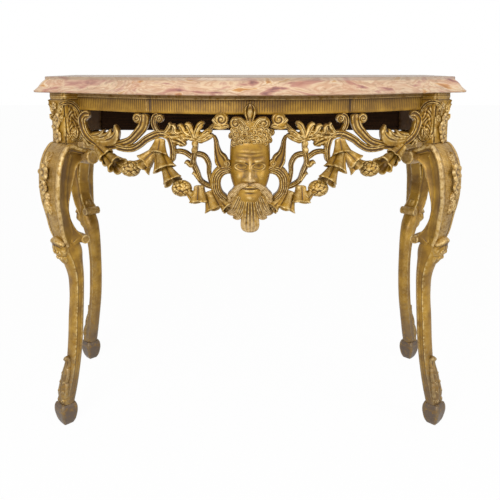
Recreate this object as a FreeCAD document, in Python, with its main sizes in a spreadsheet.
"""Serpentine pier table: a loose marble slab on a carved giltwood frame, in millimetres.

+Z is up, the bowed front faces -Y and the straight back edge faces the wall at +Y.
The origin is on the floor under the middle of the slab.
"""
import FreeCAD, Part
import math
import os

from FreeCAD import Placement, Rotation, Vector

UP = Vector(0, 0, 1)
# How far solids that are fused or cut run into each other, so that no two of their faces lie flush
LAP = 1

# Driving sizes: alias, value, what it measures
SIZES = (
    ("table_height", 864, "floor to the top of the slab"),
    ("marble_thickness", 36, "slab, top to underside"),
    ("marble_depth", 575, "slab, front of the nose to the back edge"),
    ("marble_back_half_width", 536, "slab, middle to its end at the wall"),
    ("marble_side_flare", 4.9, "degrees that each end opens towards the wall"),
    ("marble_corner_radius", 36, "front corners of the slab, at the nose"),
    ("bow_radius", 585, "convex middle of the front, at the nose"),
    ("sweep_radius", 595, "concave wings of the front, at the nose"),
    ("bow_half_angle", 35, "degrees where the bow turns into a wing"),
    ("moulding_inset", 27, "how far the top fillet stands behind the nose"),
    ("fillet_height", 7, "upright fillet round the top of the slab"),
    ("nose_height", 3, "upright band at the widest line of the slab"),
    ("underside_inset", 2, "how far the underside is drawn in from the nose"),
    ("frieze_overhang", 41, "slab nose to the frieze"),
    ("rail_height", 40, "frieze and side rails"),
    ("rail_thickness", 28, "frieze"),
    ("frieze_band_height", 10, "plain band along the top of the frieze"),
    ("frieze_band_step", 2, "how far that band stands proud of the reeding"),
    ("break_angle", 23, "degrees round the bow to the joints of the frieze"),
    ("side_rail_thickness", 26, "rails at the two ends"),
    ("back_rail_height", 118, "plain rail at the wall"),
    ("back_rail_thickness", 22, "plain rail at the wall"),
    ("tenon_thickness", 10, "tenons and tongues"),
    ("tenon_length", 18, "tenons and tongues"),
    ("tenon_shoulder", 7, "rail standing above and below a tenon"),
    ("tenon_clearance", 0.15, "room round each tenon and tongue"),
    ("front_foot_inset", 69, "front feet, inside the slab's end at the wall"),
    ("front_foot_setback", 171.5, "front feet, behind the nose of the slab"),
    ("back_foot_inset", 40, "back feet, inside the slab's end at the wall"),
    ("back_foot_setback", 39.5, "back feet, in front of the slab's wall edge"),
    ("post_width", 64, "corner post, across its diagonal face"),
    ("post_depth", 48, "corner post, along the diagonal"),
    ("post_setback", 23, "post face, inside the axis of the foot"),
    ("post_height", 120, "corner post above the scroll"),
    ("knee_drop", 96, "fullest point of the knee, below the post"),
    ("knee_reach", 18, "knee ridge outside the axis of the foot"),
    ("knee_half_width", 44, "half of the knee's face"),
    ("knee_thickness", 50, "knee, ridge to the inside of the scroll"),
    ("front_scroll_half_width", 30, "half width of the inner scroll of a front leg"),
    ("back_scroll_half_width", 20, "half width of the slimmer inner scroll of a back leg"),
    ("upper_volute_radius", 22, "scroll under the corner post"),
    ("upper_volute_reach", 89, "its centre, inside the axis of the foot"),
    ("upper_volute_drop", 33, "its centre, below the post"),
    ("lower_volute_radius", 14, "scroll at the foot of the knee"),
    ("lower_volute_reach", 64, "its centre, inside the axis of the foot"),
    ("lower_volute_drop", 233, "its centre, below the post"),
    ("roundel_rise", 6, "roundels standing out of the sides of a volute"),
    ("shank_half_width", 19, "half width of the slim lower leg"),
    ("shank_thickness", 28, "slim lower leg along the diagonal"),
    ("shank_bend_share", 0.7, "where the lower leg bends furthest in, as a share of its height"),
    ("shank_bend_reach", 34, "its front there, inside the axis of the foot"),
    ("ankle_half_width", 20, "leg where it meets the foot"),
    ("ankle_front", 14, "its front there, outside the axis of the foot"),
    ("foot_height", 56, "pad foot"),
    ("foot_half_width", 22.5, "pad foot at its widest, middle to side"),
    ("foot_sole_half", 12.5, "flat of the foot on the floor, middle to side"),
    ("foot_neck_half", 19, "top of the foot, middle to side"),
    ("ankle_leaf_height", 116, "acanthus leaf above the foot"),
    ("knee_leaf_height", 80, "acanthus leaf under the knee"),
    ("dowel_radius", 5, "dowel between foot and leg"),
    ("dowel_length", 40, "dowel between foot and leg"),
    ("dowel_clearance", 0.1, "room round the dowel"),
    ("carving_thickness", 9, "shell on the corner post"),
    ("carving_rose_radius", 13, "flower on the corner post"),
    ("apron_setback", 43, "slab nose to the face of the scroll boards"),
    ("apron_thickness", 20, "scroll boards"),
    ("apron_drop", 254, "tip of the beard below the frieze"),
    ("strap_width", 17, "main scroll straps"),
    ("tendril_width", 10, "thin stems"),
    ("husk_mouth", 18, "radius of a husk's mouth"),
    ("husk_root", 7, "radius of a husk's root"),
    ("blossom_radius", 20, "flower balls of the festoon"),
    ("festoon_stem_radius", 4, "stem that strings the husks and flower balls"),
    ("festoon_rise", 6, "axis of the festoon in front of the scroll boards"),
    ("mask_half_width", 43, "face, middle to cheek"),
    ("mask_relief", 42, "tip of the nose in front of the scroll boards"),
    ("ear_thickness", 14, "pointed ears of the mask"),
    ("crest_thickness", 10, "plume on the face of the frieze"),
    ("crest_rise", 22, "plume standing above the foot of the frieze"),
)

doc = FreeCAD.newDocument("pier_table")
sheet = doc.addObject("Spreadsheet::Sheet", "sizes")
for row, (alias, value, note) in enumerate(SIZES, start=1):
    sheet.set("A%d" % row, note)
    sheet.set("B%d" % row, str(value))
    sheet.setAlias("B%d" % row, alias)
doc.recompute()


def size(alias):
    """Value of one driving size."""
    return float(sheet.get(alias))


# Heights and plan centres that follow from the driving sizes
RAIL_TOP = "(sizes.table_height - sizes.marble_thickness)"
RAIL_FOOT = "(%s - sizes.rail_height)" % RAIL_TOP
POST_FOOT = "(%s - sizes.post_height)" % RAIL_TOP
rail_top = size("table_height") - size("marble_thickness")
rail_foot = rail_top - size("rail_height")
post_foot = rail_top - size("post_height")
back_y = size("marble_depth") / 2
knee_height = post_foot - size("knee_drop")
lower_eye = post_foot - size("lower_volute_drop")
bow_angle = math.radians(size("bow_half_angle"))
bow_centre = Vector(0, size("bow_radius") - back_y, 0)
sweep_reach = size("bow_radius") + size("sweep_radius")
sweep_centre = bow_centre + Vector(math.sin(bow_angle), -math.cos(bow_angle), 0) * sweep_reach


def bow_point(inset, angle):
    """Point of the convex middle, at an inset behind the nose; the angle is from the centre line."""
    radius = size("bow_radius") - inset
    return bow_centre + Vector(math.sin(angle), -math.cos(angle), 0) * radius


def sweep_point(inset, angle):
    """Point of the right concave wing whose tangent leans by the angle."""
    radius = size("sweep_radius") + inset
    return sweep_centre + Vector(-math.sin(angle), math.cos(angle), 0) * radius


def front_y(x, inset):
    """Y of the serpentine front at a distance x from the middle."""
    reach = abs(x)
    radius = size("bow_radius") - inset
    if reach <= radius * math.sin(bow_angle):
        return bow_centre.y - math.sqrt(radius ** 2 - reach ** 2)
    radius = size("sweep_radius") + inset
    return sweep_centre.y + math.sqrt(radius ** 2 - (sweep_centre.x - reach) ** 2)


# Corners of the frame: name, side of X, turn of the leg about +Z, foot of the leg
CORNERS = {
    "front_left": (-1, 225, "front"),
    "front_right": (1, 315, "front"),
    "back_right": (1, 45, "back"),
    "back_left": (-1, 135, "back"),
}


def foot_spot(corner):
    """Where the axis of a foot meets the floor."""
    side, turn, row = CORNERS[corner]
    out = size("marble_back_half_width") - size(row + "_foot_inset")
    along = back_y - size(row + "_foot_setback")
    return Vector(side * out, -along if row == "front" else along, 0)


def leg_axis(corner, degrees=0):
    """Unit vector along the leg's diagonal, turned by some degrees about +Z."""
    angle = math.radians(CORNERS[corner][1] + degrees)
    return Vector(math.cos(angle), math.sin(angle), 0)


def post_middle(corner):
    """Centre of a corner post in plan."""
    inside = size("post_setback") + size("post_depth") / 2
    return foot_spot(corner) - leg_axis(corner) * inside


def place_at_corner(feature, corner):
    """Put a piece modelled on the leg's own axes at its corner of the frame."""
    side, turn, row = CORNERS[corner]
    feature.Placement = Placement(foot_spot(corner), Rotation(UP, turn))
    out = "(sizes.marble_back_half_width - sizes.%s_foot_inset)" % row
    along = "(sizes.marble_depth / 2 - sizes.%s_foot_setback)" % row
    feature.setExpression("Placement.Base.x", "-" + out if side < 0 else out)
    feature.setExpression("Placement.Base.y", "-" + along if row == "front" else along)


nodes = []


def node(feature, label):
    """Name a finished piece, which also names its file."""
    feature.Label = label
    nodes.append(feature)
    return feature


def polygon(points):
    """Closed run of straight edges."""
    return [Part.LineSegment(a, b) for a, b in zip(points, points[1:] + points[:1])]


def flat(points):
    """Points of a sketch from pairs of numbers."""
    return [Vector(across, along, 0) for across, along in points]


def body_sketch(body, name, plane, edges, lift=None):
    """Sketch on one of the body's own planes, lifted along the plane's normal by an expression."""
    sketch = body.newObject("Sketcher::SketchObject", name)
    support = next(f for f in body.Origin.OriginFeatures if f.Role == plane)
    sketch.AttachmentSupport = [(support, "")]
    sketch.MapMode = "FlatFace"
    if lift:
        sketch.setExpression("AttachmentOffset.Base.z", lift)
    for edge in edges:
        sketch.addGeometry(edge, False)
    return sketch


def pad(body, name, edges, lift, length):
    """Upright prism on a plan outline; lift and length are expressions."""
    feature = body.newObject("PartDesign::Pad", name + "_pad")
    feature.Profile = body_sketch(body, name, "XY_Plane", edges, lift)
    feature.setExpression("Length", length)
    return feature


def pocket(body, name, edges, lift, length):
    """Upright hollow on a plan outline, cut upwards from its lift."""
    feature = body.newObject("PartDesign::Pocket", name + "_pocket")
    feature.Profile = body_sketch(body, name, "XY_Plane", edges, lift)
    feature.Reversed = True
    feature.setExpression("Length", length)
    return feature


def free_sketch(name, edges, placement):
    """Sketch placed by itself, for the lofts and extrusions of the carved pieces."""
    sketch = doc.addObject("Sketcher::SketchObject", name)
    sketch.Placement = placement
    for edge in edges:
        sketch.addGeometry(edge, False)
    return sketch


def boolean(kind, name, base, tool):
    """Common part or difference of two solids."""
    feature = doc.addObject("Part::" + kind, name)
    feature.Base = base
    feature.Tool = tool
    return feature


def fuse(name, shapes):
    """One solid from several overlapping ones."""
    feature = doc.addObject("Part::MultiFuse", name)
    feature.Shapes = shapes
    feature.Refine = True
    return feature


def mirror(name, source):
    """Left-hand piece from the right-hand one."""
    feature = doc.addObject("Part::Mirroring", name)
    feature.Source = source
    feature.Normal = Vector(1, 0, 0)
    return feature


# Marble slab
def slab_outline(inset):
    """Plan of the slab drawn in from the nose: bow, wings, round corners and flared ends."""
    flare = math.radians(size("marble_side_flare"))
    outward = Vector(math.cos(flare), -math.sin(flare), 0)
    along = Vector(math.sin(flare), math.cos(flare), 0)
    round_radius = size("marble_corner_radius")
    wall_corner = Vector(size("marble_back_half_width"), back_y, 0)
    start = wall_corner - outward * round_radius - sweep_centre
    reach = size("sweep_radius") + round_radius
    lean = start.dot(along)
    travel = -lean + math.sqrt(lean ** 2 - start.dot(start) + reach ** 2)
    hub = sweep_centre + start + along * travel
    on_wing = sweep_centre + (hub - sweep_centre).normalize() * (size("sweep_radius") + inset)
    on_side = hub + outward * (round_radius - inset)
    between = hub + ((on_wing - hub).normalize() + outward).normalize() * (round_radius - inset)
    at_wall = Vector(wall_corner.x - inset / math.cos(flare), back_y, 0)
    on_bow = bow_point(inset, bow_angle)
    wing_angle = math.atan2(sweep_centre.x - on_wing.x, on_wing.y - sweep_centre.y)
    on_sweep = sweep_point(inset, (wing_angle + bow_angle) / 2)

    def left(point):
        return Vector(-point.x, point.y, 0)

    return [
        Part.LineSegment(left(at_wall), at_wall),
        Part.LineSegment(at_wall, on_side),
        Part.Arc(on_side, between, on_wing),
        Part.Arc(on_wing, on_sweep, on_bow),
        Part.Arc(on_bow, bow_point(inset, 0), left(on_bow)),
        Part.Arc(left(on_bow), left(on_sweep), left(on_wing)),
        Part.Arc(left(on_wing), left(between), left(on_side)),
        Part.LineSegment(left(on_side), left(at_wall)),
    ]


def marble_top():
    """Slab lofted through its outline at each line of the moulded edge."""
    inset = size("moulding_inset")
    ovolo_top = "(sizes.marble_thickness - sizes.fillet_height)"
    nose_top = "(sizes.underside_inset + sizes.nose_height)"
    ovolo = "(%s - %s)" % (ovolo_top, nose_top)
    lines = [
        (size("underside_inset"), "0"),
        (0, "sizes.underside_inset"),
        (0, nose_top),
        (0.06 * inset, "%s + 0.22 * %s" % (nose_top, ovolo)),
        (0.22 * inset, "%s + 0.55 * %s" % (nose_top, ovolo)),
        (0.46 * inset, "%s + 0.80 * %s" % (nose_top, ovolo)),
        (0.80 * inset, "%s + 0.96 * %s" % (nose_top, ovolo)),
        (inset, ovolo_top),
        (inset, "sizes.marble_thickness"),
    ]
    body = doc.addObject("PartDesign::Body", "slab")
    sections = []
    for number, (drawn_in, height) in enumerate(lines):
        lift = "%s + %s" % (RAIL_TOP, height)
        sections.append(body_sketch(body, "slab_line_%d" % number, "XY_Plane", slab_outline(drawn_in), lift))
    loft = body.newObject("PartDesign::AdditiveLoft", "slab_loft")
    loft.Profile = sections[0]
    loft.Sections = sections[1:]
    loft.Ruled = True
    return node(body, "marble_top")


# Frieze and rails
def wing_end(inset):
    """Angle of the right wing where it meets the side of the front post."""
    face = leg_axis("front_right", -90)
    level = post_middle("front_right").dot(face) + size("post_width") / 2
    reach = size("sweep_radius") + inset
    gap = (level - face.dot(sweep_centre)) / reach
    return math.radians(CORNERS["front_right"][1] - 90 - 180) + math.asin(gap)


def wing_band(outer, inner, from_angle):
    """Plan of a right-hand band from a joint on the bow to the front post."""
    edge = [bow_point(outer, from_angle), bow_point(outer, bow_angle), sweep_point(outer, wing_end(outer))]
    back = [bow_point(inner, from_angle), bow_point(inner, bow_angle), sweep_point(inner, wing_end(inner))]
    half_bow = (from_angle + bow_angle) / 2
    return [
        Part.Arc(edge[0], bow_point(outer, half_bow), edge[1]),
        Part.Arc(edge[1], sweep_point(outer, (bow_angle + wing_end(outer)) / 2), edge[2]),
        Part.LineSegment(edge[2], back[2]),
        Part.Arc(back[2], sweep_point(inner, (bow_angle + wing_end(inner)) / 2), back[1]),
        Part.Arc(back[1], bow_point(inner, half_bow), back[0]),
        Part.LineSegment(back[0], edge[0]),
    ]


def bow_band(outer, inner, angle):
    """Plan of a band across the middle of the bow."""
    return [
        Part.Arc(bow_point(outer, -angle), bow_point(outer, 0), bow_point(outer, angle)),
        Part.LineSegment(bow_point(outer, angle), bow_point(inner, angle)),
        Part.Arc(bow_point(inner, angle), bow_point(inner, 0), bow_point(inner, -angle)),
        Part.LineSegment(bow_point(inner, -angle), bow_point(outer, -angle)),
    ]


def bar(start, heading, length, width):
    """Plan of a straight bar from a point along a heading."""
    across = Vector(-heading.y, heading.x, 0) * (width / 2)
    end = start + heading * length
    return polygon([start - across, end - across, end + across, start + across])


def flip(edges, side):
    """Right-hand plan edges, or their mirror image for the left."""
    if side > 0:
        return edges
    matrix = FreeCAD.Matrix()
    matrix.A11 = -1
    return [edge_mirror(edge, matrix) for edge in edges]


def edge_mirror(edge, matrix):
    """Copy of an edge's geometry through a matrix, drawn again from its own points."""
    start, end = matrix.multVec(edge.StartPoint), matrix.multVec(edge.EndPoint)
    if isinstance(edge, Part.LineSegment):
        return Part.LineSegment(start, end)
    middle = matrix.multVec(edge.value((edge.FirstParameter + edge.LastParameter) / 2))
    return Part.Arc(start, middle, end)


TENON_FOOT = "sizes.tenon_shoulder"
TENON_HEIGHT = "(sizes.rail_height - 2 * sizes.tenon_shoulder)"


def rail_steps(body, outline, outer, inner):
    """Reeded height of a rail and the plain band that stands proud above it."""
    reeded = outer + size("frieze_band_step")
    reed_height = "(sizes.rail_height - sizes.frieze_band_height)"
    pad(body, "reeding", outline(reeded, inner), RAIL_FOOT, reed_height)
    pad(body, "band", outline(outer, inner), "%s - sizes.frieze_band_height" % RAIL_TOP,
        "sizes.frieze_band_height")


def frieze_inner():
    """Inset of the back of the frieze."""
    return size("frieze_overhang") + size("rail_thickness")


def front_rail_centre():
    """Bowed middle of the frieze with a tongue at each end."""
    angle = math.radians(size("break_angle"))
    body = doc.addObject("PartDesign::Body", "frieze_centre")
    rail_steps(body, lambda outer, inner: bow_band(outer, inner, angle),
               size("frieze_overhang"), frieze_inner())
    middle = (size("frieze_overhang") + frieze_inner()) / 2
    root = bow_point(middle, angle)
    heading = Vector(math.cos(angle), math.sin(angle), 0)
    tongue = bar(root - heading * LAP, heading, size("tenon_length") + LAP, size("tenon_thickness"))
    for side, name in ((1, "right"), (-1, "left")):
        pad(body, "tongue_" + name, flip(tongue, side), "%s + %s" % (RAIL_FOOT, TENON_FOOT), TENON_HEIGHT)
    return node(body, "front_rail_centre")


def front_rail_wing(side, name):
    """Wing of the frieze: slot for the centre's tongue at one end, tenon for the post at the other."""
    angle = math.radians(size("break_angle"))
    clearance = size("tenon_clearance")
    body = doc.addObject("PartDesign::Body", "frieze_" + name)
    rail_steps(body, lambda outer, inner: flip(wing_band(outer, inner, angle), side),
               size("frieze_overhang"), frieze_inner())
    middle = (size("frieze_overhang") + frieze_inner()) / 2
    heading = Vector(math.cos(angle), math.sin(angle), 0)
    slot = bar(bow_point(middle, angle) - heading * LAP, heading, size("tenon_length") + clearance + LAP,
               size("tenon_thickness") + 2 * clearance)
    pocket(body, "slot", flip(slot, side), "%s + %s - sizes.tenon_clearance" % (RAIL_FOOT, TENON_FOOT),
           "%s + 2 * sizes.tenon_clearance" % TENON_HEIGHT)
    root = sweep_point(middle, wing_end(middle))
    into_post = leg_axis("front_right", 90)
    tenon = bar(root - into_post * LAP, into_post, size("tenon_length") + LAP, size("tenon_thickness"))
    pad(body, "tenon", flip(tenon, side), "%s + %s" % (RAIL_FOOT, TENON_FOOT), TENON_HEIGHT)
    return node(body, "front_rail_" + name)


def side_rail(side, name):
    """Straight end rail, mitred to both posts, with a tenon at each end."""
    front_in = leg_axis("front_right", -90)
    back_in = leg_axis("back_right", 90)
    half_post = size("post_width") / 2
    front = post_middle("front_right") - front_in * half_post
    back = post_middle("back_right") - back_in * half_post
    run = (back - front).normalize()

    def corner(point, face, shift):
        """Where the rail's face, shifted sideways, meets the side of a post."""
        start = point + Vector(run.y, -run.x, 0) * shift
        return start + run * ((point - start).dot(face) / run.dot(face))

    def outline(outer, inner):
        return flip(polygon([corner(front, front_in, outer), corner(back, back_in, outer),
                             corner(back, back_in, inner), corner(front, front_in, inner)]), side)

    half = size("side_rail_thickness") / 2
    body = doc.addObject("PartDesign::Body", "end_" + name)
    pad(body, "reeding", outline(half - size("frieze_band_step"), -half), RAIL_FOOT,
        "sizes.rail_height - sizes.frieze_band_height")
    pad(body, "band", outline(half, -half), "%s - sizes.frieze_band_height" % RAIL_TOP,
        "sizes.frieze_band_height")
    for end, root, heading in (("front", front, front_in), ("back", back, back_in)):
        tenon = bar(root - heading * LAP, heading, size("tenon_length") + LAP, size("tenon_thickness"))
        pad(body, "tenon_" + end, flip(tenon, side), "%s + %s" % (RAIL_FOOT, TENON_FOOT), TENON_HEIGHT)
    return node(body, "side_rail_" + name)


def back_rail():
    """Deep plain rail between the back posts, mitred to their sides, with a tenon at each end."""
    into_post = leg_axis("back_right", -90)
    root = post_middle("back_right") - into_post * (size("post_width") / 2)
    half = size("back_rail_thickness") / 2
    mitre = half * into_post.y / into_post.x
    ends = [Vector(root.x + sign * mitre, root.y - sign * half, 0) for sign in (1, -1)]
    left = [Vector(-end.x, end.y, 0) for end in reversed(ends)]
    body = doc.addObject("PartDesign::Body", "wall_rail")
    foot = "%s - sizes.back_rail_height" % RAIL_TOP
    pad(body, "board", polygon(ends + left), foot, "sizes.back_rail_height")
    tenon = bar(root - into_post * LAP, into_post, size("tenon_length") + LAP, size("tenon_thickness"))
    for side, name in ((1, "right"), (-1, "left")):
        pad(body, "tenon_" + name, flip(tenon, side), "%s + %s" % (foot, TENON_FOOT),
            "sizes.back_rail_height - 2 * sizes.tenon_shoulder")
    return node(body, "back_rail")


# Legs, on their own axes: x outward along the diagonal, y across it, z up from the floor
def side_view(points):
    """Points of a leg's side view as sketch points, outward and up."""
    return [Vector(out, rise, 0) for out, rise in points]


SIDE_PLANE = Rotation(Vector(1, 0, 0), 90)


def side_prism(name, edges, half_width):
    """Outline seen from the leg's side, given its width across; the width is an expression."""
    prism = doc.addObject("Part::Extrusion", name)
    prism.Base = free_sketch(name + "_outline", edges, Placement(Vector(), SIDE_PLANE))
    prism.DirMode = "Custom"
    prism.Dir = Vector(0, 1, 0)
    prism.Symmetric = True
    prism.Solid = True
    prism.setExpression("LengthFwd", "2 * (%s)" % half_width)
    return prism


def loft(name, sections):
    """Smooth solid through placed outlines."""
    feature = doc.addObject("Part::Loft", name)
    feature.Sections = sections
    feature.Solid = True
    feature.Ruled = False
    return feature


def knee_band(row):
    """Bulging face of the scroll: a keeled band lofted down the ridge of the knee."""
    reach, height = size("knee_reach"), knee_height
    wide, thick = size("knee_half_width"), size("knee_thickness")
    inner = size(row + "_scroll_half_width")
    low, top = lower_eye, post_foot
    hidden = size("post_setback")
    half_post = size("post_width") / 2
    # outward, up, half width, thickness, inner half width
    stations = [
        (-hidden - 0.08 * thick, top + 0.28 * thick, 0.94 * half_post, 0.66 * thick, 0.87 * inner),
        (reach - 0.38 * thick, top - 0.24 * thick, 0.94 * wide, 0.84 * thick, inner),
        (reach - 0.12 * thick, (top + height) / 2, wide, 0.94 * thick, inner),
        (reach, height, 0.98 * wide, thick, inner),
        (reach - 0.06 * thick, 0.72 * height + 0.28 * low, 0.88 * wide, 0.97 * thick, 0.93 * inner),
        (reach - 0.20 * thick, 0.42 * height + 0.58 * low, 0.78 * wide, 0.90 * thick, 0.87 * inner),
        (reach - 0.40 * thick, 0.12 * height + 0.88 * low, 0.68 * wide, 0.80 * thick, 0.77 * inner),
        (reach - 0.66 * thick, low - 0.28 * thick, 0.56 * wide, 0.66 * thick, 0.67 * inner),
    ]
    ridge = [Vector(out, 0, up) for out, up, *rest in stations]
    sections = []
    for number, (out, up, half, deep, inside) in enumerate(stations):
        before, after = ridge[max(number - 1, 0)], ridge[min(number + 1, len(ridge) - 1)]
        along = (after - before).normalize()
        outward = Vector(-along.z, 0, along.x)
        keel = 0.28 * half
        rim = 0.2 * deep
        shape = flat([(0, 0), (0.62 * half, -0.34 * keel), (half, -keel), (half, -keel - rim),
                      (inside, -deep), (-inside, -deep), (-half, -keel - rim), (-half, -keel),
                      (-0.62 * half, -0.34 * keel)])
        across = Vector(0, 1, 0)
        turn = Rotation(across, outward, across.cross(outward), "XYZ")
        sections.append(free_sketch("knee_%d" % number, polygon(shape), Placement(ridge[number], turn)))
    return loft("knee_band", sections)


def shank():
    """Slim lower leg: lofted from under the knee, bent in, then out to the ankle."""
    slim, thick = size("shank_half_width"), size("shank_thickness")
    low, foot = lower_eye, size("foot_height")
    bend = foot + size("shank_bend_share") * (low - foot)
    bend_front = -size("shank_bend_reach")
    ankle, ankle_front = size("ankle_half_width"), size("ankle_front")
    # up, front, thickness, half width
    stations = [
        (low + 0.72 * thick, bend_front + 1.00 * thick, 1.79 * thick, 1.37 * slim),
        (low - 0.64 * thick, bend_front + 1.07 * thick, 2.10 * thick, 1.42 * slim),
        (0.55 * low + 0.45 * bend, bend_front + 0.43 * thick, 1.50 * thick, 1.26 * slim),
        (0.24 * low + 0.76 * bend, bend_front + 0.03 * thick, 1.12 * thick, 1.10 * slim),
        (0.97 * bend + 0.03 * foot, bend_front, thick, 1.02 * slim),
        (0.73 * bend + 0.27 * foot, bend_front + 0.25 * thick, thick, slim),
        (0.49 * bend + 0.51 * foot, bend_front + 0.50 * thick, thick, slim),
        (0.28 * bend + 0.72 * foot, 0.4 * bend_front + 0.6 * ankle_front - 0.18 * thick, thick, slim),
        (0.11 * bend + 0.89 * foot, 0.2 * bend_front + 0.8 * ankle_front, 1.15 * thick, 0.98 * ankle),
        (foot, ankle_front, 1.18 * thick, ankle),
    ]
    sections = []
    for number, (up, front, deep, half) in enumerate(stations):
        back = front - deep
        keel = 0.26 * deep
        shape = flat([(front, 0), (front - 0.3 * keel, 0.6 * half), (front - keel, half),
                      (back + 0.15 * deep, 0.9 * half), (back, 0.5 * half), (back, -0.5 * half),
                      (back + 0.15 * deep, -0.9 * half), (front - keel, -half),
                      (front - 0.3 * keel, -0.6 * half)])
        level = Placement(Vector(0, 0, up), Rotation())
        sections.append(free_sketch("shank_%d" % number, polygon(shape), level))
    return loft("shank", sections)


def leg_leaf(name, stations):
    """Acanthus leaf on the ridge of the leg: up, front, depth into the leg and half width at each level."""
    sections = []
    for number, (up, front, deep, half) in enumerate(stations):
        shape = flat([(front, 0), (front - 0.25 * deep, 0.65 * half), (front - deep, half),
                      (front - deep, -half), (front - 0.25 * deep, -0.65 * half)])
        level = Placement(Vector(0, 0, up), Rotation())
        sections.append(free_sketch("%s_%d" % (name, number), polygon(shape), level))
    return loft(name, sections)


def ankle_leaf():
    """Leaf that grows up from the foot and curls off the ridge at its tip."""
    foot, tall = size("foot_height"), size("ankle_leaf_height")
    front, thick, half = size("ankle_front"), size("shank_thickness"), size("ankle_half_width")
    return leg_leaf("ankle_leaf", [
        (foot, front - 0.03 * thick, 0.50 * thick, 0.82 * half),
        (foot + 0.14 * tall, front + 0.08 * thick, 0.58 * thick, 0.96 * half),
        (foot + 0.34 * tall, front + 0.02 * thick, 0.62 * thick, 0.90 * half),
        (foot + 0.55 * tall, front - 0.18 * thick, 0.62 * thick, 0.74 * half),
        (foot + 0.78 * tall, front - 0.45 * thick, 0.58 * thick, 0.56 * half),
        (foot + 0.93 * tall, front - 0.48 * thick, 0.58 * thick, 0.42 * half),
        (foot + tall, front - 0.71 * thick, 0.40 * thick, 0.26 * half),
    ])


def knee_leaf():
    """Leaf that grows up the lower leg and curls out as a lip under the knee."""
    tall = size("knee_leaf_height")
    foot = lower_eye + 0.12 * tall - tall
    inside, thick, slim = -size("shank_bend_reach"), size("shank_thickness"), size("shank_half_width")
    return leg_leaf("knee_leaf", [
        (foot, inside + 0.25 * thick, 0.55 * thick, 0.31 * slim),
        (foot + 0.25 * tall, inside + 0.75 * thick, 0.66 * thick, 0.85 * slim),
        (foot + 0.50 * tall, inside + 1.14 * thick, 0.77 * thick, 1.15 * slim),
        (foot + 0.72 * tall, inside + 1.36 * thick, 0.88 * thick, 1.30 * slim),
        (foot + 0.88 * tall, inside + 1.46 * thick, 0.88 * thick, 1.25 * slim),
        (foot + tall, inside + 1.14 * thick, 0.66 * thick, 0.90 * slim),
    ])


def on_circle(centre, radius, degrees):
    """Point of a circle in the side view."""
    angle = math.radians(degrees)
    return Vector(centre.x + radius * math.cos(angle), centre.y + radius * math.sin(angle), 0)


def upper_scroll(row):
    """Head of the scroll, curling in under the post to its volute."""
    radius = size("upper_volute_radius")
    eye = Vector(-size("upper_volute_reach"), post_foot - size("upper_volute_drop"), 0)
    thick, deep = size("knee_thickness"), size("post_depth")
    inside = size("knee_reach") - 1.08 * thick
    cove_end = Vector(inside, knee_height + 0.28 * thick, 0)
    crown = Vector(-size("post_setback") - 0.875 * deep, post_foot + 0.125 * deep, 0)
    first, last = on_circle(eye, radius, 62), on_circle(eye, radius, 292)
    cove = Vector(0.42 * last.x + 0.58 * cove_end.x, 0.5 * last.y + 0.5 * cove_end.y + 0.4 * radius, 0)
    hidden_low = Vector(inside + 0.32 * thick, cove_end.y, 0)
    hidden_top = Vector(inside + 0.2 * thick, crown.y, 0)
    edges = [
        Part.LineSegment(hidden_top, crown),
        Part.LineSegment(crown, first),
        Part.Arc(first, on_circle(eye, radius, 178), last),
        Part.Arc(last, cove, cove_end),
        Part.LineSegment(cove_end, hidden_low),
        Part.LineSegment(hidden_low, hidden_top),
    ]
    return side_prism("upper_scroll", edges, "sizes.%s_scroll_half_width" % row)


def scroll_cap(row):
    """Band that carries the face of the knee over the top of the scroll and round to its volute."""
    radius, thick = size("upper_volute_radius"), size("knee_thickness")
    eye = Vector(-size("upper_volute_reach"), post_foot - size("upper_volute_drop"), 0)
    outer_start, inner_start = on_circle(eye, 1.1 * radius, 130), on_circle(eye, 0.6 * radius, 130)
    outer_end = Vector(-0.3 * thick, post_foot - 0.1 * thick, 0)
    inner_end = Vector(-0.4 * thick, post_foot - 0.34 * thick, 0)
    crown = Vector(-size("post_setback") - 0.8 * size("post_depth"), post_foot - 0.04 * thick, 0)
    edges = [
        Part.Arc(outer_start, crown, outer_end),
        Part.LineSegment(outer_end, inner_end),
        Part.Arc(inner_end, crown - Vector(0, 0.24 * thick, 0), inner_start),
        Part.LineSegment(inner_start, outer_start),
    ]
    return side_prism("scroll_cap", edges, "sizes.%s_scroll_half_width + sizes.roundel_rise" % row)


def lower_scroll(row):
    """Foot of the scroll, curling in to the small volute at the bottom of the knee."""
    radius = size("lower_volute_radius")
    eye = Vector(-size("lower_volute_reach"), lower_eye, 0)
    thick = size("knee_thickness")
    inside = size("knee_reach") - thick
    start = Vector(inside, 0.65 * knee_height + 0.35 * eye.y, 0)
    first, last = on_circle(eye, radius, 108), on_circle(eye, radius, 275)
    cove = Vector(0.66 * start.x + 0.34 * first.x, 0.45 * start.y + 0.55 * first.y, 0)
    hidden_low = Vector(inside + 0.16 * thick, last.y, 0)
    hidden_top = Vector(inside + 0.36 * thick, start.y, 0)
    edges = [
        Part.LineSegment(hidden_top, start),
        Part.Arc(start, cove, first),
        Part.Arc(first, on_circle(eye, radius, 190), last),
        Part.LineSegment(last, hidden_low),
        Part.LineSegment(hidden_low, hidden_top),
    ]
    return side_prism("lower_scroll", edges, "sizes.%s_scroll_half_width - sizes.roundel_rise" % row)


def roundel(name, radius, half_width, reach, height):
    """Round end of a volute, standing out of both sides of the scroll; all sizes are expressions."""
    drum = doc.addObject("Part::Cylinder", name)
    drum.Placement = Placement(Vector(), Rotation(Vector(1, 0, 0), 90))
    drum.setExpression("Radius", radius)
    drum.setExpression("Height", "2 * (%s)" % half_width)
    drum.setExpression("Placement.Base.x", "-(%s)" % reach)
    drum.setExpression("Placement.Base.y", half_width)
    drum.setExpression("Placement.Base.z", height)
    return drum


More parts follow.
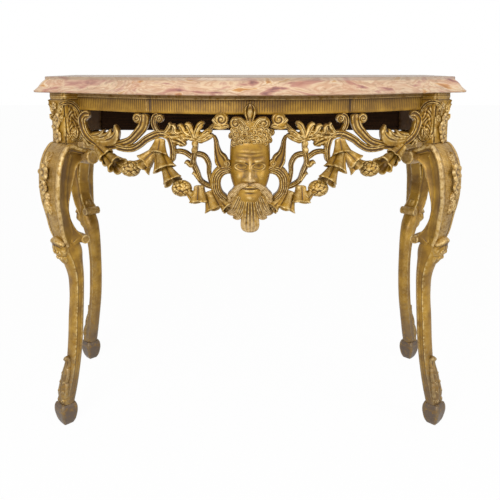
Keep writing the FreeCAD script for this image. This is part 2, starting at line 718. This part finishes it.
def corner_post():
    """Square block at the head of the leg that takes the rails."""
    post = doc.addObject("Part::Box", "corner_post")
    post.setExpression("Length", "sizes.post_depth")
    post.setExpression("Width", "sizes.post_width")
    post.setExpression("Height", "sizes.post_height")
    post.setExpression("Placement.Base.x", "-sizes.post_setback - sizes.post_depth")
    post.setExpression("Placement.Base.y", "-sizes.post_width / 2")
    post.setExpression("Placement.Base.z", POST_FOOT)
    return post


def leg_blank(row):
    """Post, scroll, volutes and lower leg of a front or back leg, carved from one timber."""
    half = "sizes.%s_scroll_half_width" % row
    upper = roundel("upper_roundel", "0.7 * sizes.upper_volute_radius", half + " + sizes.roundel_rise",
                    "sizes.upper_volute_reach", "%s - sizes.upper_volute_drop" % POST_FOOT)
    lower = roundel("lower_roundel", "0.7 * sizes.lower_volute_radius", half,
                    "sizes.lower_volute_reach", "%s - sizes.lower_volute_drop" % POST_FOOT)
    return fuse("leg_blank", [corner_post(), upper_scroll(row), scroll_cap(row), knee_band(row),
                              lower_scroll(row), shank(), knee_leaf(), ankle_leaf(), upper, lower])


def mortise(name, face, along, foot, height):
    """Hollow for a tenon in one side of the post, at a distance along the diagonal."""
    clearance = "sizes.tenon_clearance"
    box = doc.addObject("Part::Box", name)
    box.setExpression("Length", "sizes.tenon_thickness + 2 * %s" % clearance)
    box.setExpression("Width", "sizes.tenon_length + %s + %d" % (clearance, LAP))
    box.setExpression("Height", "%s + 2 * %s" % (height, clearance))
    box.Placement.Base.x = along - size("tenon_thickness") / 2 - size("tenon_clearance")
    outer = "sizes.post_width / 2 - sizes.tenon_length - %s" % clearance
    box.setExpression("Placement.Base.y", outer if face > 0 else "-sizes.post_width / 2 - %d" % LAP)
    box.setExpression("Placement.Base.z", "%s - %s" % (foot, clearance))
    return box


def dowel_hole(name):
    """Bore up the ankle for the foot's dowel."""
    bore = doc.addObject("Part::Cylinder", name)
    bore.setExpression("Radius", "sizes.dowel_radius + sizes.dowel_clearance")
    bore.setExpression("Height", "sizes.dowel_length / 2 + sizes.dowel_clearance + %d" % LAP)
    bore.setExpression("Placement.Base.z", "sizes.foot_height - %d" % LAP)
    return bore


def legs():
    """Four legs from a front and a back blank, each with the mortises that its own rails need."""
    blanks = {"front": leg_blank("front"), "back": leg_blank("back")}
    middle = (size("frieze_overhang") + frieze_inner()) / 2
    frieze_root = sweep_point(middle, wing_end(middle)) - foot_spot("front_right")
    frieze_along = frieze_root.dot(leg_axis("front_right"))
    centre_along = -size("post_setback") - size("post_depth") / 2
    rail = ("%s + %s" % (RAIL_FOOT, TENON_FOOT), TENON_HEIGHT)
    wall = ("%s - sizes.back_rail_height + %s" % (RAIL_TOP, TENON_FOOT),
            "(sizes.back_rail_height - 2 * sizes.tenon_shoulder)")
    # rail at the left hand of the leg and rail at its right hand, seen from outside
    joints = {
        "front_left": ((1, frieze_along, rail), (-1, centre_along, rail)),
        "front_right": ((1, centre_along, rail), (-1, frieze_along, rail)),
        "back_right": ((1, centre_along, wall), (-1, centre_along, rail)),
        "back_left": ((1, centre_along, rail), (-1, centre_along, wall)),
    }
    for corner, sockets in joints.items():
        tools = [dowel_hole("bore_" + corner)]
        for face, along, (foot, height) in sockets:
            tools.append(mortise("mortise_%s_%d" % (corner, len(tools)), face, along, foot, height))
        hollows = doc.addObject("Part::Compound", "hollows_" + corner)
        hollows.Links = tools
        leg = boolean("Cut", "cut_" + corner, blanks[CORNERS[corner][2]], hollows)
        place_at_corner(leg, corner)
        node(leg, "leg_" + corner)
    return blanks["front"]


# Feet
def foot_pad(corner):
    """Square pad foot on the leg's own axes: lofted from the sole out to its swell and in to the neck."""
    sole, wide, neck = size("foot_sole_half"), size("foot_half_width"), size("foot_neck_half")
    tall = "sizes.foot_height"
    levels = [
        (sole, "0"),
        (0.6 * sole + 0.4 * wide, "0.14 * " + tall),
        (0.2 * sole + 0.8 * wide, "0.40 * " + tall),
        (wide, "0.72 * " + tall),
        (0.7 * wide + 0.3 * neck, "0.88 * " + tall),
        (neck, tall),
    ]
    body = doc.addObject("PartDesign::Body", "pad_" + corner)
    sections = []
    for number, (half, lift) in enumerate(levels):
        cut = 0.7 * half
        shape = [(half, -cut), (half, cut), (cut, half), (-cut, half),
                 (-half, cut), (-half, -cut), (-cut, -half), (cut, -half)]
        sections.append(body_sketch(body, "pad_level_%d" % number, "XY_Plane", polygon(flat(shape)), lift))
    swell = body.newObject("PartDesign::AdditiveLoft", "swell")
    swell.Profile = sections[0]
    swell.Sections = sections[1:]
    swell.Ruled = True
    bore = Part.Circle(Vector(), UP, size("dowel_radius") + size("dowel_clearance"))
    socket = "sizes.dowel_length / 2 + sizes.dowel_clearance"
    pocket(body, "bore", [bore], "%s - %s" % (tall, socket), "%s + %d" % (socket, LAP))
    place_at_corner(body, corner)
    return node(body, "foot_" + corner)


def foot_dowels():
    """Four dowels, half in the foot and half in the leg."""
    pins = []
    for corner in CORNERS:
        pin = doc.addObject("Part::Cylinder", "dowel_" + corner)
        place_at_corner(pin, corner)
        pin.setExpression("Radius", "sizes.dowel_radius")
        pin.setExpression("Height", "sizes.dowel_length")
        pin.setExpression("Placement.Base.z", "sizes.foot_height - sizes.dowel_length / 2")
        pins.append(pin)
    group = doc.addObject("Part::Compound", "dowel_group")
    group.Links = pins
    return node(group, "foot_dowels")


def turned(name, profile):
    """Solid turned about its own upright axis from a profile of radius and height."""
    solid = doc.addObject("Part::Revolution", name)
    points = [Vector(radius, height, 0) for radius, height in profile]
    solid.Source = free_sketch(name + "_profile", polygon(points), Placement(Vector(), SIDE_PLANE))
    solid.Axis = UP
    solid.Base = Vector()
    solid.Angle = 360
    solid.Solid = True
    return solid


# Carving on the front posts
def corner_carving(corner, timber):
    """Arched shell with a flower, glued to the diagonal face of a front post above the knee."""
    half = 0.4 * size("post_width")
    foot, spring = post_foot + 0.05 * size("post_height"), post_foot + 0.62 * size("post_height")
    face = Placement(Vector(-size("post_setback"), 0, 0), Rotation(Vector(1, 1, 1), 120))
    edges = [
        Part.LineSegment(Vector(-0.7 * half, foot, 0), Vector(0.7 * half, foot, 0)),
        Part.LineSegment(Vector(0.7 * half, foot, 0), Vector(half, spring, 0)),
        Part.Arc(Vector(half, spring, 0), Vector(0, spring + half, 0), Vector(-half, spring, 0)),
        Part.LineSegment(Vector(-half, spring, 0), Vector(-0.7 * half, foot, 0)),
    ]
    shell = doc.addObject("Part::Extrusion", "shell_" + corner)
    shell.Base = free_sketch("shell_outline_" + corner, edges, face)
    shell.DirMode = "Custom"
    shell.Dir = Vector(1, 0, 0)
    shell.Solid = True
    shell.setExpression("LengthFwd", "sizes.carving_thickness")
    radius = size("carving_rose_radius")
    rose = turned("rose_" + corner, [(0, 0), (radius, 0), (0.9 * radius, 0.4 * radius),
                                     (0.55 * radius, 0.75 * radius), (0, 0.9 * radius)])
    rose.Placement = Placement(Vector(0, 0, foot + 0.42 * (spring - foot)), Rotation(Vector(0, 1, 0), 90))
    rose.setExpression("Placement.Base.x", "-sizes.post_setback + 0.8 * sizes.carving_thickness")
    carving = boolean("Cut", "carving_" + corner, fuse("shell_and_rose_" + corner, [shell, rose]), timber)
    place_at_corner(carving, corner)
    return node(carving, "corner_" + corner.replace("front", "carving"))


# Apron: right-hand layout in percent of its half span out from the middle and of its drop below the frieze
board_end = sweep_point(size("apron_setback"), wing_end(size("apron_setback")))


def spot(out, drop):
    """Point of the apron's front view."""
    return Vector(out / 100 * board_end.x, -back_y, rail_foot - drop / 100 * size("apron_drop"))


def beside(share):
    """Percent out from the middle, at a share of the mask's half width."""
    return 100 * share * size("mask_half_width") / board_end.x


def stroke(width, stations):
    """Flat strap along a smooth centre line; a station is out, drop and its share of the width."""
    line = [spot(out, drop) for out, drop, share in stations]
    spine = Part.BSplineCurve()
    spine.interpolate(line)
    sides = ([], [])
    for point, station in zip(line, stations):
        along = spine.tangent(spine.parameter(point))[0]
        across = Vector(-along.z, 0, along.x).normalize() * (station[2] * width / 2)
        sides[0].append(point + across)
        sides[1].append(point - across)
    curves = []
    for side in sides:
        curve = Part.BSplineCurve()
        curve.interpolate(side)
        curves.append(curve.toShape())
    caps = [Part.makeLine(sides[0][end], sides[1][end]) for end in (0, -1)]
    return Part.Face(Part.Wire(Part.__sortEdges__([curves[0], caps[1], curves[1], caps[0]])))


def leaf(root, tip, spread):
    """Pointed leaf between two spots, fullest below its middle; the spread is its half width in percent."""
    root, tip = spot(*root), spot(*tip)
    along = tip - root
    across = Vector(-along.z, 0, along.x).normalize() * spread / 100 * board_end.x
    belly = root + along * 0.45
    edges = [Part.Arc(root, belly + across, tip).toShape(), Part.Arc(tip, belly - across, root).toShape()]
    return Part.Face(Part.Wire(edges))


def disc(centre, radius):
    """Round eye of a scroll."""
    return Part.Face(Part.Wire(Part.makeCircle(radius, spot(*centre), Vector(0, 1, 0))))


def fretted(name, faces):
    """Front view sawn through from front to back."""
    view = doc.addObject("Part::Feature", name + "_view")
    view.Shape = faces[0].fuse(faces[1:]).removeSplitter() if faces[1:] else faces[0]
    saw = doc.addObject("Part::Extrusion", name + "_saw")
    saw.Base = view
    saw.DirMode = "Custom"
    saw.Dir = Vector(0, 1, 0)
    saw.Solid = True
    saw.setExpression("LengthFwd", "sizes.marble_depth")
    return saw


def apron_board():
    """Curved right-hand board under the frieze, from the middle to the post."""
    face = size("apron_setback")
    board = doc.addObject("Part::Extrusion", "apron_board")
    plan = wing_band(face, face + size("apron_thickness"), 0)
    board.Base = free_sketch("apron_plan", plan, Placement(Vector(0, 0, rail_foot), Rotation()))
    board.DirMode = "Custom"
    board.Dir = Vector(0, 0, -1)
    board.Solid = True
    board.setExpression("LengthFwd", "sizes.apron_drop")
    return board


def scroll_faces():
    """Lunette scroll, shoulder, break volutes, foliage and stems of the right half."""
    strap, thin = size("strap_width"), size("tendril_width")
    return [
        stroke(strap, [(93.2, 3.1, 0.7), (96.5, 4.3, 0.8), (98, 9.4, 0.9), (97, 16.5, 1), (95, 22.4, 1.1),
                       (90.7, 27.6, 1.1), (85.7, 29.9, 1), (78.9, 30.3, 1), (72.9, 28.3, 1),
                       (66.9, 24.8, 1), (62.2, 18.1, 1), (58.6, 11.4, 0.9), (57.6, 3.5, 0.9)]),
        stroke(strap, [(76.2, 30.7, 0.5), (69.2, 31.9, 0.6), (65.2, 31.1, 0.7), (60.9, 27.6, 0.75),
                       (57.1, 22.8, 0.75), (53.9, 20.1, 0.75), (50.4, 17.7, 0.75), (46.9, 17.3, 0.75),
                       (43.6, 20.1, 0.75), (42.1, 26, 0.75), (41.6, 31.9, 0.7), (42.4, 40.9, 0.5)]),
        disc((61.4, 4.7), 0.65 * strap),
        disc((48.4, 3.9), 0.5 * strap),
        disc((15, 3.9), 0.9 * strap),
        stroke(thin, [(53.1, -0.4, 0.9), (51.4, 4.7, 0.9), (50.4, 9.4, 0.9), (48.9, 16.5, 0.8)]),
        stroke(thin, [(46.9, 16.9, 0.8), (41.1, 15.4, 0.9), (36.6, 16.9, 1), (32.1, 19.3, 1),
                      (27.6, 18.5, 1), (21.1, 14.2, 0.9), (16.5, 6.3, 0.9)]),
        stroke(thin, [(29.3, 18.1, 1.2), (29.3, 28, 1.2), (30.1, 35, 1.2), (30.6, 39.4, 1.1),
                      (28.6, 48.8, 1.1), (26.6, 56.3, 1), (21.6, 60.6, 1), (16.5, 61.4, 1)]),
        stroke(thin, [(30.6, 37, 0.8), (35.6, 32.3, 0.9), (40.1, 32.3, 0.9), (42.6, 39.4, 0.8)]),
        stroke(thin, [(29.1, 33.1, 0.9), (24.6, 35, 1), (22.1, 41.7, 1), (22.1, 48.4, 1),
                      (21.1, 59.1, 0.9)]),
        stroke(thin, [(29.3, 22.4, 1.5), (29.3, 32.3, 1.5)]),
        leaf((29.6, 21.3), (32.6, 7.9), 2), leaf((29.3, 21.3), (25.3, 6.3), 2),
        leaf((29.1, 21.3), (21.1, 12.6), 2), leaf((28.6, 22.4), (20.1, 17.3), 1.8),
        leaf((32.1, 18.9), (36.8, 9.1), 1.8), leaf((37.6, 17.3), (40.6, 9.4), 1.8),
        leaf((35.1, 18.1), (38.1, 24.8), 1.8), leaf((31.6, 19.7), (33.8, 26.4), 1.8),
        leaf((30.1, 42.5), (33.8, 40.6), 1.3), leaf((46.1, 16.9), (42.9, 9.1), 1.3),
        leaf((21.1, 13.4), (11, 9.4), 2),
    ]


def apron_set(mask):
    """Right-hand boards, leaves, cheek scroll and festoon, with their left-hand mirror images."""
    board = apron_board()
    scroll_board = boolean("Common", "scroll_board", fretted("scrolls", scroll_faces()), board)
    scrolls = boolean("Cut", "scrolls", scroll_board, mask)
    strap = size("strap_width")
    leaves = fretted("lunette_leaf", [
        stroke(strap, [(88.2, 26.8, 0.8), (82.7, 26, 1.2), (77.7, 22.8, 1.4), (75.2, 18.1, 0.9),
                       (75.9, 11.4, 0.15)]),
        stroke(strap, [(88.7, 25.2, 0.7), (84.7, 23.6, 1), (80.7, 20.5, 0.9), (78.2, 15.4, 0.15)]),
        stroke(strap, [(90.2, 24.4, 0.6), (86.7, 21.7, 0.8), (83, 16.9, 0.15)]),
    ])
    lunette_leaf = boolean("Cut", "lunette_leaf", boolean("Common", "leaf_board", leaves, board), scrolls)
    cheek_view = stroke(strap, [(beside(0.88), 48, 0.8), (11.5, 46.1, 0.9), (14.3, 46.5, 1),
                                (17.3, 51.2, 1), (18.3, 58.7, 1), (16.8, 66.5, 1),
                                (beside(1.14), 73.2, 0.8)])
    cheek_board = boolean("Common", "cheek_board", fretted("cheek", [cheek_view]), board)
    taken = doc.addObject("Part::Compound", "cheek_neighbours")
    taken.Links = [mask, scrolls]
    cheek = boolean("Cut", "cheek", cheek_board, taken)
    garland = festoon(board, mask)
    for name, piece in (("apron_scrolls", scrolls), ("lunette_leaf", lunette_leaf),
                        ("cheek_scroll", cheek), ("festoon", garland)):
        node(piece, name + "_right")
        node(mirror(name + "_mirror", piece), name + "_left")


def hang(out, drop):
    """Point of the festoon, a little in front of the boards."""
    point = spot(out, drop)
    point.y = front_y(point.x, size("apron_setback")) - size("festoon_rise")
    return point


# Festoon in percent: root and mouth of each husk with its size, the flower balls, and the stems between them
HUSKS = (
    ((88.2, 31.5), (80.7, 40.9), 0.95),
    ((82.7, 38.2), (74.4, 46.9), 1.05),
    ((54.4, 38.6), (59.1, 46.5), 0.95),
    ((48.4, 18.9), (49.6, 33.1), 1.05),
    ((50.9, 29.1), (57.4, 40.9), 0.95),
    ((49.4, 29.1), (46.1, 46.5), 1.1),
    ((46.9, 41.7), (41.6, 56.7), 1.05),
    ((35.1, 63.8), (28.8, 70.1), 0.6),
    ((27.3, 59.8), (27.1, 73.6), 1),
    ((22.1, 64.6), (18.5, 78.7), 1),
    ((17.5, 70.9), (12.5, 78), 0.65),
)
BLOSSOMS = ((66.4, 48.8), (36.8, 62.6))
STEMS = (
    ((77.2, 43.7), (66.4, 48.8)),
    ((57.1, 42.5), (66.4, 48.8)),
    ((43.6, 51.2), (36.8, 62.6)),
    ((27.3, 68.5), (20.6, 70.1)),
)


def festoon(board, mask):
    """String of bell-shaped husks and two flower balls, planted on the boards between leg and mask."""
    root, ball = size("husk_root"), size("blossom_radius")
    parts = []
    for number, (top, foot, share) in enumerate(HUSKS):
        start, end = hang(*top), hang(*foot)
        length = (end - start).Length
        mouth = share * size("husk_mouth")
        husk = turned("husk_%d" % number, [
            (0, 0), (root, 0), (0.6 * mouth, 0.5 * length), (mouth, length),
            (0.8 * mouth, length), (0.4 * mouth, 0.87 * length), (0, 0.87 * length),
        ])
        husk.Placement = Placement(start, Rotation(UP, end - start))
        parts.append(husk)
    for number, centre in enumerate(BLOSSOMS):
        blossom = turned("blossom_%d" % number, [
            (0, -ball), (0.6 * ball, -0.8 * ball), (0.95 * ball, -0.3 * ball),
            (0.95 * ball, 0.3 * ball), (0.6 * ball, 0.8 * ball), (0, ball),
        ])
        blossom.Placement.Base = hang(*centre)
        parts.append(blossom)
    for number, (near, far) in enumerate(STEMS):
        start, end = hang(*near), hang(*far)
        stem = doc.addObject("Part::Cylinder", "festoon_stem_%d" % number)
        stem.setExpression("Radius", "sizes.festoon_stem_radius")
        stem.Height = (end - start).Length
        stem.Placement = Placement(start, Rotation(UP, end - start))
        parts.append(stem)
    planted = boolean("Cut", "festoon_planted", fuse("festoon_string", parts), board)
    return boolean("Cut", "festoon", planted, mask)


# Mask in percent: drop, half width, and relief at the middle, nose side, eye and temple
FACE_LEVELS = (
    (0, 60, (7, 7, 5, 2)),
    (2.4, 77, (29, 29, 24, 14)),
    (7.9, 95, (52, 50, 43, 29)),
    (14.6, 100, (64, 62, 52, 36)),
    (18.5, 98, (52, 50, 45, 31)),
    (25.6, 98, (64, 62, 52, 33)),
    (33.5, 100, (71, 79, 71, 43)),
    (38.6, 98, (62, 43, 40, 31)),
    (44.1, 95, (83, 48, 48, 36)),
    (50.4, 93, (100, 62, 60, 36)),
    (53.9, 91, (67, 60, 55, 33)),
    (59.8, 86, (55, 48, 43, 26)),
    (63.4, 84, (64, 57, 45, 26)),
    (70.1, 81, (67, 60, 45, 26)),
    (78.7, 70, (57, 50, 36, 19)),
    (88.2, 49, (45, 38, 26, 14)),
    (100, 14, (21, 19, 14, 10)),
)
FACE_REACH = (0.22, 0.55, 0.82)


def face_section(number, half_width, relief):
    """Level outline of the mask: carved front, straight sides and a flat back against the boards."""
    broad = half_width / 100 * size("mask_half_width")
    proud = [-depth / 100 * size("mask_relief") for depth in relief]
    right = [(broad * reach, depth) for reach, depth in zip(FACE_REACH, proud[1:])]
    left = [(-out, depth) for out, depth in reversed(right)]
    back = size("apron_thickness")
    shape = left + [(0, proud[0])] + right + [(broad, 0), (broad, back), (-broad, back), (-broad, 0)]
    place = spot(0, FACE_LEVELS[number][0])
    place.y = front_y(0, size("apron_setback"))
    return free_sketch("face_level_%d" % number, polygon(flat(shape)), Placement(place, Rotation()))


def lock(name, root, tip, thick, thin, rise):
    """Tapering lock of hair between two spots of the front view, standing in front of the boards."""
    start, end = spot(*root), spot(*tip)
    start.y = end.y = front_y(0, size("apron_setback")) - rise
    strand = doc.addObject("Part::Cone", name)
    strand.Radius1 = thick
    strand.Radius2 = thin
    strand.Height = (end - start).Length
    strand.Placement = Placement(start, Rotation(UP, end - start))
    return strand


def ear(hand, side):
    """Pointed ear, sawn from the board beside the head."""
    view = doc.addObject("Part::Feature", "ear_view_" + hand)
    view.Shape = leaf((side * beside(1.02), 46.9), (side * beside(1.75), 17.3), beside(0.33))
    plate = doc.addObject("Part::Extrusion", "ear_" + hand)
    plate.Base = view
    plate.DirMode = "Custom"
    plate.Dir = Vector(0, 1, 0)
    plate.Solid = True
    plate.setExpression("LengthFwd", "sizes.ear_thickness")
    plate.Placement.Base.y = front_y(0, size("apron_setback")) - size("ear_thickness") / 2 + back_y
    return plate


def mask_head():
    """Satyr mask: lofted head with leaf beard, and pointed ears, moustache and side locks."""
    head = doc.addObject("Part::Loft", "head")
    head.Sections = [face_section(number, level[1], level[2]) for number, level in enumerate(FACE_LEVELS)]
    head.Solid = True
    head.Ruled = True
    masses = [head]
    proud = size("mask_relief")
    for side, hand in ((1, "right"), (-1, "left")):
        masses += [
            ear(hand, side),
            lock("moustache_" + hand, (side * beside(0.1), 56.3), (side * beside(1.02), 66.1),
                 0.19 * proud, 0.1 * proud, 0.45 * proud),
            lock("side_lock_" + hand, (side * beside(0.55), 67.7), (side * beside(0.93), 87.4),
                 0.31 * proud, 0.07 * proud, 0.14 * proud),
        ]
    return node(fuse("mask_masses", masses), "mask")


def mask_crest(mask):
    """Plume that rises from the hair over the face of the frieze."""
    above = 100 * size("crest_rise") / size("apron_drop")
    view = doc.addObject("Part::Feature", "crest_view")
    view.Shape = leaf((0, 17.3), (0, -above), beside(0.31))
    plume = doc.addObject("Part::Extrusion", "crest_plume")
    plume.Base = view
    plume.DirMode = "Custom"
    plume.Dir = Vector(0, 1, 0)
    plume.Solid = True
    plume.setExpression("LengthFwd", "sizes.crest_thickness")
    plume.Placement.Base.y = front_y(0, size("apron_setback")) - size("crest_thickness") + back_y
    return node(boolean("Cut", "crest_cut", plume, mask), "mask_crest")


marble_top()
front_rail_centre()
front_rail_wing(-1, "left")
front_rail_wing(1, "right")
side_rail(-1, "left")
side_rail(1, "right")
back_rail()
leg_timber = legs()
for corner_name in CORNERS:
    foot_pad(corner_name)
foot_dowels()
for corner_name in ("front_left", "front_right"):
    corner_carving(corner_name, leg_timber)
face_mask = mask_head()
mask_crest(face_mask)
apron_set(face_mask)

doc.recompute()
failed = [item.Name for item in doc.Objects if "Invalid" in item.State or "Error" in item.State]
if failed:
    raise RuntimeError("features that failed: %s" % ", ".join(failed))
for piece in nodes:
    if piece.Shape.isNull() or not piece.Shape.isValid():
        raise RuntimeError("no valid solid in " + piece.Label)

os.makedirs("parts", exist_ok=True)
for piece in nodes:
    piece.Shape.exportStep("parts/%s.step" % piece.Label)
    print("%-24s solids %d  volume %9.0f" % (piece.Label, len(piece.Shape.Solids), piece.Shape.Volume))
